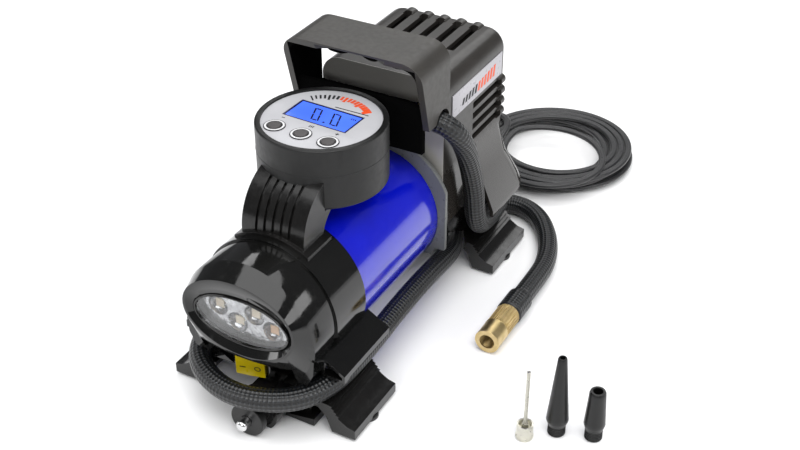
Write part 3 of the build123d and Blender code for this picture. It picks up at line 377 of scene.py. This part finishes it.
MATERIALS = {
    "barrel": enamel("barrel_enamel", (0.0, 0.002, 0.42), (0.0, 0.006, 0.56)),
    "cover": cover_plastic("cover_plastic", (0.020, 0.018, 0.016), (0.030, 0.027, 0.024)),
    "handle": handle_plastic("handle_plastic", (0.030, 0.028, 0.025), (0.040, 0.037, 0.033)),
    "cap": moulded_plastic("cap_plastic", (0.003, 0.003, 0.003), (0.006, 0.006, 0.0055),
                          0.09, 0.000002, 0.25),
    "base": moulded_plastic("base_plastic", (0.004, 0.004, 0.004), (0.008, 0.0075, 0.007),
                           0.2, 0.000004, 0.1),
    "gauge": moulded_plastic("gauge_plastic", (0.003, 0.003, 0.003), (0.0055, 0.0055, 0.0055),
                            0.42, 0.000008),
    "face": moulded_plastic("face_foil", (0.42, 0.42, 0.44), (0.50, 0.50, 0.52), 0.42, 0.000002),
    "ring": moulded_plastic("button_ring", (0.60, 0.60, 0.61), (0.68, 0.68, 0.69), 0.3, 0.000002),
    "button": moulded_plastic("button_rubber", (0.050, 0.046, 0.047), (0.075, 0.070, 0.070), 0.5, 0.00001),
    "display": lit_display("display_blue"),
    "border": moulded_plastic("display_edge", (0.004, 0.006, 0.05), (0.006, 0.009, 0.08), 0.4, 0.000001),
    "ink": moulded_plastic("ink_black", (0.003, 0.003, 0.005), (0.007, 0.007, 0.009), 0.5, 0.000001),
    "orange": moulded_plastic("ink_orange", (0.72, 0.06, 0.012), (0.80, 0.11, 0.02), 0.45, 0.000001),
    "label": moulded_plastic("label_film", (0.40, 0.39, 0.42), (0.48, 0.47, 0.50), 0.3, 0.000002),
    "yellow": moulded_plastic("rocker_yellow", (0.50, 0.37, 0.0), (0.60, 0.46, 0.0), 0.32, 0.000002, 0.2),
    "pad": soft_rubber("pad_rubber", (0.006, 0.006, 0.006), (0.012, 0.012, 0.012)),
    "cord": soft_rubber("cord_jacket", (0.004, 0.004, 0.005), (0.008, 0.008, 0.009), 0.34),
    "braid": braided_sleeve("hose_braid"),
    "brass": machined_metal("brass", (0.50, 0.38, 0.17), (0.66, 0.52, 0.27), 0.33),
    "collar": knurled_metal("collar_brass", (0.50, 0.38, 0.17), (0.64, 0.50, 0.26),
                             0.34, (CHUCK_X, CHUCK_Z), "Y", COLLAR_BAND),
    "nickel": knurled_metal("needle_nickel", (0.78, 0.76, 0.66), (0.88, 0.86, 0.76),
                             0.3, ADAPTERS["needle"], "Z"),
    "chrome": machined_metal("chrome_plate", (0.62, 0.62, 0.63), (0.75, 0.75, 0.75), 0.14),
    "reflector": machined_metal("lamp_reflector", (0.26, 0.26, 0.27), (0.52, 0.52, 0.52),
                                 0.1, (260.0,) * 3, 0.0006),
    "steel": machined_metal("steel", (0.40, 0.40, 0.41), (0.55, 0.55, 0.56), 0.32),
    "aluminium": machined_metal("cast_aluminium", (0.52, 0.52, 0.53), (0.66, 0.66, 0.67),
                                 0.45, (300.0,) * 3, 0.00006),
    "copper": machined_metal("copper_wire", (0.55, 0.22, 0.10), (0.72, 0.34, 0.18),
                              0.3, (900.0, 60.0, 900.0), 0.0001),
    "nylon": moulded_plastic("white_nylon", (0.66, 0.64, 0.58), (0.76, 0.75, 0.70), 0.42),
    "magnet": moulded_plastic("ferrite", (0.03, 0.03, 0.034), (0.05, 0.05, 0.055), 0.6, 0.00005),
    # painted reflection: the collar is toned light grey for the white surroundings mirrored in its glossy
    # black plastic
    "collar_painted_reflection": moulded_plastic("collar_painted_reflection_grey", (0.115, 0.12, 0.12), (0.15, 0.155, 0.155), 0.3),
    "board": moulded_plastic("circuit_board", (0.01, 0.10, 0.04), (0.02, 0.14, 0.06), 0.35),
    "nozzle": moulded_plastic("nozzle_plastic", (0.002, 0.002, 0.002), (0.005, 0.005, 0.005), 0.34, 0.000006),
    "lens": clear_lens_material("lamp_lens"),
    "led": moulded_plastic("phosphor", (0.80, 0.66, 0.46), (0.90, 0.80, 0.62), 0.4),
    "amber": moulded_plastic("phosphor_amber", (0.72, 0.40, 0.20), (0.82, 0.52, 0.30), 0.4),
}


# ---- geometry helpers ------------------------------------------------------------------
def new_piece(name, mesh, material, body=ROOT):
    """Object that rides on a body."""
    piece = bpy.data.objects.new(name, mesh)
    bpy.context.scene.collection.objects.link(piece)
    mesh.materials.clear()
    mesh.materials.append(MATERIALS[material])
    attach(piece, body)
    return piece


def mesh_of(name, work):
    """Turn a bmesh into a smooth mesh."""
    mesh = bpy.data.meshes.new(name)
    work.to_mesh(mesh)
    work.free()
    mesh.shade_smooth()
    return mesh


def soften(piece, width, segments=2, angle=30.0):
    """Rounded edges that keep the faces between them flat."""
    bevel = piece.modifiers.new("edges", "BEVEL")
    bevel.width, bevel.segments = width * MM, segments
    bevel.limit_method, bevel.angle_limit = "ANGLE", math.radians(angle)
    bevel.miter_outer = "MITER_ARC"
    bevel.harden_normals = True


def refined(node, material, width=0.35, segments=2, angle=30.0):
    """Edge-rounded copy of a solid, which stands for it."""
    source = NODES[node]
    work = bmesh.new()
    work.from_mesh(source.data)
    bmesh.ops.remove_doubles(work, verts=work.verts, dist=2e-6)
    bmesh.ops.dissolve_limit(work, angle_limit=math.radians(0.05), verts=work.verts, edges=work.edges)
    for edge in work.edges:
        edge.smooth = edge.calc_face_angle(0.0) < math.radians(angle)
    piece = new_piece(node + "_finish", mesh_of(node + "_finish", work), material, source["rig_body"])
    if width:
        soften(piece, width, segments, angle)
    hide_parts(node)
    return piece


def dress(node, material):
    """Better material on a solid that keeps its shape."""
    NODES[node].data.materials.clear()
    NODES[node].data.materials.append(MATERIALS[material])


def spline_points(name, route, steps=8):
    """Points read from a smooth curve through a given route."""
    data = bpy.data.curves.new(name, "CURVE")
    data.dimensions, data.resolution_u = "3D", steps
    spline = data.splines.new("NURBS")
    spline.points.add(len(route) - 1)
    for point, place in zip(spline.points, route):
        point.co = (*[value * MM for value in place], 1.0)
    spline.order_u = 3
    spline.use_endpoint_u = True
    holder = bpy.data.objects.new(name, data)
    line = bpy.data.meshes.new_from_object(holder)
    points = [vertex.co.copy() for vertex in line.vertices]
    bpy.data.objects.remove(holder)
    return points


def path_length(points):
    return sum((b - a).length for a, b in zip(points, points[1:]))


def carried_sides(points):
    """Side vector at each point, carried along and kept level where it can be."""
    sides = []
    side = None
    for index, here in enumerate(points):
        before, after = points[max(index - 1, 0)], points[min(index + 1, len(points) - 1)]
        along = (after - before).normalized()
        level = along.cross(Vector((0, 0, 1)))
        if side is None:
            side = level.normalized()
        if level.dot(side) < 0:
            level = -level
        side = side + 0.25 * level
        side = (side - along * side.dot(along)).normalized()
        sides.append((along, side, side.cross(along)))
    return sides


def swept(name, points, outline):
    """Tube with an outline given as (side, up) pairs, capped, with UVs in turns and metres."""
    work = bmesh.new()
    uv = work.loops.layers.uv.new("UVMap")
    rings = []
    travelled = [0.0]
    for a, b in zip(points, points[1:]):
        travelled.append(travelled[-1] + (b - a).length)
    for here, (along, side, up) in zip(points, carried_sides(points)):
        rings.append([work.verts.new(here + side * a * MM + up * b * MM) for a, b in outline])
    count = len(outline)
    for row, (near, far) in enumerate(zip(rings, rings[1:])):
        for k in range(count):
            face = work.faces.new((near[k], near[(k + 1) % count], far[(k + 1) % count], far[k]))
            corners = ((k, row), (k + 1, row), (k + 1, row + 1), (k, row + 1))
            for loop, (around, step) in zip(face.loops, corners):
                loop[uv].uv = (around / count, travelled[step])
    work.faces.new(rings[0])
    work.faces.new(reversed(rings[-1]))
    bmesh.ops.recalc_face_normals(work, faces=work.faces)
    return mesh_of(name, work)


def circle_outline(radius, count=28):
    return [(radius * math.cos(2 * math.pi * k / count), radius * math.sin(2 * math.pi * k / count))
            for k in range(count)]


def twin_outline():
    """Figure-eight outline of a two-core cord."""
    core = CORD_T / 2
    offset = CORD_W / 2 - core
    right = [(offset + core * math.cos(a), core * math.sin(a))
             for a in [math.radians(-125 + 25 * k) for k in range(11)]]
    return right + [(-x, -y) for x, y in right]


# ---- marks, rings and small details ------------------------------------------------------
def raised_marks(name, outlines, place, thickness, material, body=ROOT):
    """Thin raised shapes from flat outlines in millimetres, moved to a place."""
    work = bmesh.new()
    for outline in outlines:
        face = work.faces.new([work.verts.new((x * MM, y * MM, 0.0)) for x, y in outline])
        raised = bmesh.ops.extrude_face_region(work, geom=[face])["geom"]
        top = [item for item in raised if isinstance(item, bmesh.types.BMVert)]
        bmesh.ops.translate(work, verts=top, vec=(0, 0, thickness * MM))
    bmesh.ops.recalc_face_normals(work, faces=work.faces)
    bmesh.ops.transform(work, matrix=place, verts=work.verts)
    mesh = bpy.data.meshes.new(name)
    work.to_mesh(mesh)
    work.free()
    return new_piece(name, mesh, material, body)


def at(x, y, z):
    return Matrix.Translation((x * MM, y * MM, z * MM))


def bar(x0, y0, x1, y1, lean=0.0):
    """Outline of a bar; lean moves its upper end sideways."""
    return [(x0, y0), (x1, y0), (x1 + lean, y1), (x0 + lean, y1)]


def annulus(x, y, inner, outer, steps, stretch=1.0):
    """Outlines of a flat ring in short sectors, stretched along X."""
    outlines = []
    for k in range(steps):
        a, b = 2 * math.pi * k / steps, 2 * math.pi * (k + 1) / steps
        corners = ((inner, a), (outer, a), (outer, b), (inner, b))
        outlines.append([(x + r * stretch * math.cos(t), y + r * math.sin(t)) for r, t in corners])
    return outlines


def hoop(radius, wire, place, axis="Z", around=48, section=8):
    """Thin round ring as a mesh, with its middle at a place in millimetres."""
    work = bmesh.new()
    rows = []
    for i in range(around):
        turn = 2 * math.pi * i / around
        row = []
        for j in range(section):
            tilt = 2 * math.pi * j / section
            reach = radius + wire * math.cos(tilt)
            flat = (reach * math.cos(turn), reach * math.sin(turn), wire * math.sin(tilt))
            x, y, z = flat if axis == "Z" else (flat[0], flat[2], flat[1])
            row.append(work.verts.new(((place[0] + x) * MM, (place[1] + y) * MM, (place[2] + z) * MM)))
        rows.append(row)
    for i in range(around):
        near, far = rows[i], rows[(i + 1) % around]
        for j in range(section):
            k = (j + 1) % section
            work.faces.new((near[j], near[k], far[k], far[j]))
    bmesh.ops.recalc_face_normals(work, faces=work.faces)
    return work


def ring_piece(name, rings, material, body=ROOT):
    """One piece made of several hoops."""
    whole = bmesh.new()
    for ring in rings:
        single = bpy.data.meshes.new("ring")
        ring.to_mesh(single)
        ring.free()
        whole.from_mesh(single)
        bpy.data.meshes.remove(single)
    return new_piece(name, mesh_of(name, whole), material, body)


def zero_segments(x, y, width=3.8, height=8.9, stroke=0.75, shear=-0.38):
    """The six lit segments of a zero; the digit leans as a slanted display does."""
    gap, half = 0.22, height / 2
    left, right = gap + stroke, width - gap - stroke
    flat = [bar(left, 0, right, stroke), bar(left, height - stroke, right, height)]
    for low, high in ((gap, half - gap), (half + gap, height - gap)):
        flat += [bar(0, low, stroke, high), bar(width - stroke, low, width, high)]
    return [[(x + a + shear * b, y + b) for a, b in outline] for outline in flat]


def make_display():
    """Digits, unit mark and dark border of the display."""
    place = at(DISPLAY_X, DISPLAY_Y, FACE_Z - 0.3) @ Matrix.Rotation(math.radians(DISPLAY_TURN), 4, "Z")
    digits = zero_segments(-3.4, -4.5) + zero_segments(5.6, -4.5) + [bar(2.2, -4.5, 3.2, -3.6)]
    unit = [bar(11.0 + 0.9 * k, 3.3, 11.4 + 0.9 * k, 4.4, -0.3) for k in range(3)]
    raised_marks("display_digits", digits + unit, place, 0.06, "ink")
    half_x, half_y = DISPLAY_HALF
    rim_x, rim_y = half_x - 0.9, half_y - 0.8
    border = [bar(-half_x, -half_y, half_x, -rim_y), bar(-half_x, rim_y, half_x, half_y),
              bar(-half_x, -rim_y, -rim_x, rim_y), bar(rim_x, -rim_y, half_x, rim_y)]
    raised_marks("display_border", border, place, 0.12, "border")


def make_face_marks():
    """Plus, minus and mode marks, and a plain arc of ticks along the top of the face."""
    minus = [bar(-15.0, -35.2, -13.6, -34.8)]
    mode = [bar(-1.5 + 0.8 * k, -36.6, -1.1 + 0.8 * k, -35.3) for k in range(3)]
    plus = [bar(10.8, -36.6, 12.4, -36.2), bar(11.4, -37.2, 11.8, -35.6)]
    raised_marks("button_marks", minus + mode + plus, at(0, 0, FACE_Z), 0.06, "ink")
    ticks = {"ink": [], "orange": []}
    for index in range(17):
        angle = math.radians(134 - 5.5 * index)
        inner = 17.6 if index % 4 else 16.6
        side = Vector((-math.sin(angle), math.cos(angle))) * (0.32 + 0.035 * index)
        near, far = (Vector((math.cos(angle), math.sin(angle))) * reach for reach in (inner, 20.6))
        corners = (near - side, far - side, far + side, near + side)
        outline = [tuple(corner + Vector((0, GAUGE_Y))) for corner in corners]
        ticks["ink" if index < 7 else "orange"].append(outline[::-1])
    for material, outlines in ticks.items():
        raised_marks("scale_ticks_" + material, outlines, at(0, 0, FACE_Z), 0.06, material)
    raised_marks("scale_base", [bar(-0.6, -17.9, 15.0, -17.4)], at(0, 0, FACE_Z), 0.06, "ink")


def make_button_rings():
    """White ring and dark outlines round each button."""
    for name, (x, y) in BUTTONS.items():
        raised_marks(name + "_white", annulus(x, y, 3.3, 4.1, 40), at(0, 0, FACE_Z + 0.4), 0.03, "ring")
        hoops = [hoop(4.3, 0.2, (x, y, FACE_Z + 0.25)), hoop(3.22, 0.1, (x, y, FACE_Z + 0.42))]
        ring_piece(name + "_outline", hoops, "ink")


def make_rocker_marks():
    """On and off marks on the two halves of the rocker."""
    pivot = at(SWITCH_X, PIVOT_Y, SWITCH_Z) @ Matrix.Rotation(math.radians(ROCKER_TILT), 4, "Z")
    for name, x, half_turn in (("on", -3.2, 2.7), ("off", 3.2, -2.7)):
        place = pivot @ at(x, -4.12, -1.4) @ Matrix.Rotation(math.radians(90), 4, "X")
        place = place @ Matrix.Rotation(math.radians(half_turn), 4, "Y")
        if name == "on":
            outlines = [bar(-1.3, -0.2, 1.3, 0.2)]
        else:
            outlines = annulus(0.0, 0.0, 0.8, 1.12, 20, 1.3)
        raised_marks("rocker_" + name, outlines, place, 0.05, "ink", "rocker")


def make_label_bars():
    """Plain slanted bars on the label of each side."""
    for side in (-1, 1):
        turn = Matrix.Rotation(math.radians(90 * side), 4, "Z") @ Matrix.Rotation(math.radians(90), 4, "X")
        place = at(side * (COVER_HALF + LABEL_THICK), 52.0, 95.6) @ turn
        for material, first, last in (("ink", 0, 5), ("orange", 5, 11)):
            outlines = []
            for index in range(first, last):
                x = -15.5 + 3.1 * index
                outlines.append(bar(x, -2.6, x + 1.9, 0.4 + 0.25 * index, 1.2))
            raised_marks(f"label_bars_{material}_{side}", outlines, place, 0.05, material)


def make_lamp_chips():
    """Square chip on each lamp."""
    for index, (x, z) in enumerate(LAMP_PLACES):
        place = at(x, -87.4, z) @ Matrix.Rotation(math.radians(90), 4, "X")
        material = "amber" if index == 3 else "led"
        raised_marks(f"lamp_chip_{index}", [bar(-1.9, -1.9, 1.9, 1.9)], place, 0.3, material)


def make_threads():
    """Thread rings on the adapter stubs and inside the hose end."""
    for body, top in (("needle", 2.4), ("long_nozzle", 5.0), ("wide_nozzle", 5.2)):
        x, y = ADAPTERS[body]
        heights = [0.5 + 0.8 * k for k in range(int((top - 0.4) / 0.8))]
        rings = [hoop(3.42, 0.26, (x, y, z)) for z in heights]
        ring_piece(body + "_thread", rings, "nickel" if body == "needle" else "nozzle", body)
    rings = [hoop(3.56, 0.2, (CHUCK_X, -5.4 + 0.9 * k, CHUCK_Z), "Y") for k in range(11)]
    ring_piece("chuck_thread", rings, "brass", "chuck")
    bands = [hoop(5.62, 0.16, (CHUCK_X, y, CHUCK_Z), "Y") for y in (-6.3, 3.3)]
    ring_piece("chuck_bands", bands, "brass", "chuck")


def make_bezels():
    """Rim round the lamp and the seam of the gauge."""
    count = 72
    points = []
    for k in range(count + 1):
        a = 2 * math.pi * k / count
        points.append(Vector(((LENS_A + 0.5) * math.cos(a) * MM, (LENS_FRONT - 0.2) * MM,
                              (LENS_Z + (LENS_B + 0.5) * math.sin(a)) * MM)))
    new_piece("lamp_bezel", swept("lamp_bezel", points, circle_outline(0.55, 10)), "cap")
    ring_piece("gauge_seam", [hoop(GAUGE_R, 0.11, (0, GAUGE_Y, GAUGE_SEAM), around=96)], "gauge")


# ---- cords -----------------------------------------------------------------------------
def coil_route():
    """Loose turns of the power cord: four shifted layers of three turns, worked out by angle."""
    layers, turns, steps, spacing, rise = 4, 3, 16, 3.9, 2.4
    shifts = ((0.0, 0.0), (2.4, -2.0), (-1.6, -3.6), (2.6, -4.4), (2.6, -4.4))
    places = []
    for index in range(layers * turns * steps):
        turn = index / steps
        layer, along = divmod(turn / turns, 1.0)
        layer = int(layer)
        step_up = max(0.0, (along - 0.85) / 0.15)
        across = spacing * turns * (along - 0.5) * (1 if layer % 2 == 0 else -1)
        angle = math.radians(200.0) - 2 * math.pi * turn
        radius = COIL_R + across + 0.9 * math.sin(2.0 * angle + 1.9 * layer)
        here, after = shifts[layer], shifts[layer + 1]
        shift_x, shift_y = (a + (b - a) * step_up for a, b in zip(here, after))
        x = COIL_X + shift_x + radius * math.cos(angle)
        y = COIL_Y + shift_y + radius * math.sin(angle)
        places.append((x, y, 1.5 + rise * (layer + step_up)))
    return places


def stray_loop():
    """One smaller loop that slipped out of the coil towards the front."""
    places = []
    for index in range(1, 17):
        angle = math.radians(170.0 - 20.0 * index)
        places.append((COIL_X + 4.0 + 30.0 * math.cos(angle), COIL_Y - 20.0 + 30.0 * math.sin(angle),
                       11.6 - 0.12 * index))
    return places


def make_air_hose():
    points = spline_points("hose_line", HOSE_ROUTE, 10)
    hose = new_piece("hose_sleeve", swept("hose_sleeve", points, circle_outline(HOSE_R)), "braid")
    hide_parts("air_hose")
    return hose, points


def make_ferrule():
    """Braided sleeve over the hose end, with a rubber ring at its front."""
    points = [Vector((CHUCK_X, 28.6 - 1.0 * k, CHUCK_Z)) * MM for k in range(13)]
    sleeve = new_piece("ferrule_sleeve", swept("ferrule_sleeve", points, circle_outline(5.95)), "braid")
    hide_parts("hose_ferrule")
    ring = ring_piece("ferrule_ring", [hoop(5.4, 0.62, (CHUCK_X, 17.2, CHUCK_Z), "Y")], "cord")
    return [sleeve, ring]


def make_power_cord():
    route = LEAD_ROUTE + coil_route() + stray_loop() + TAIL_ROUTE
    points = spline_points("cord_line", route, 5)
    cord = new_piece("power_cord", swept("power_cord", points, twin_outline()), "cord")
    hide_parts("cord_lead", "cord_coil", "cord_tail")
    print("power cord", round(path_length(points), 3))
    return cord, points


# ---- build -----------------------------------------------------------------------------
add_camera()
add_studio()
hose, hose_points = make_air_hose()
cord, cord_points = make_power_cord()
REFINED = {
    "motor_barrel": ("barrel", 0.2), "compressor_cover": ("cover", 0.5), "handle_frame": ("handle", 0.6),
    "barrel_collar": ("collar_painted_reflection", 0.4), "rear_base": ("base", 0.4), "front_base": ("base", 0.4),
    "front_cap": ("cap", 0.4), "plug_clip": ("base", 0.3), "side_labels": ("label", 0.0),
    "gauge_pedestal": ("base", 0.35), "gauge_case_lower": ("gauge", 0.3), "gauge_case_upper": ("gauge", 0.3),
    "gauge_face": ("face", 0.1), "switch_frame": ("cap", 0.3), "switch_rocker": ("yellow", 0.3),
    "lamp_lens": ("lens", 0.3), "chuck_collar": ("collar", 0.12),
    "cord_grommet": ("cord", 0.3), "plug_body": ("nozzle", 0.4), "tall_nozzle": ("nozzle", 0.4),
    "short_nozzle": ("nozzle", 0.4), "needle_adapter": ("nickel", 0.1), "button_minus": ("button", 0.15),
    "button_mode": ("button", 0.15), "button_plus": ("button", 0.15), "plug_tip": ("chrome", 0.1),
}
DRESSED = {
    "motor_can": "steel", "motor_magnets": "magnet", "brush_card": "nylon", "bearing_bushes": "brass",
    "rotor_shaft": "steel", "armature_core": "steel", "armature_winding": "copper", "commutator": "copper",
    "cooling_fan": "nylon", "motor_pinion": "brass", "gearbox_plate": "aluminium", "crank_gear": "nylon",
    "crank_shaft": "steel", "cylinder": "aluminium", "cylinder_head": "aluminium", "piston": "aluminium",
    "piston_ring": "nylon", "wrist_pin": "steel", "connecting_rod": "aluminium", "outlet_fitting": "brass",
    "sensor_tube": "nylon", "foot_pads": "pad", "assembly_screws": "steel", "lamp_reflector": "reflector",
    "lamp_leds": "led", "lcd_window": "display", "gauge_board": "board", "chuck_core": "brass",
    "plug_contacts": "chrome",
}
made = {node: refined(node, *settings) for node, settings in REFINED.items()}
for detail in (make_display, make_face_marks, make_button_rings, make_rocker_marks, make_label_bars,
               make_lamp_chips, make_threads, make_bezels):
    detail()
ferrule = make_ferrule()
for node, material in DRESSED.items():
    dress(node, material)
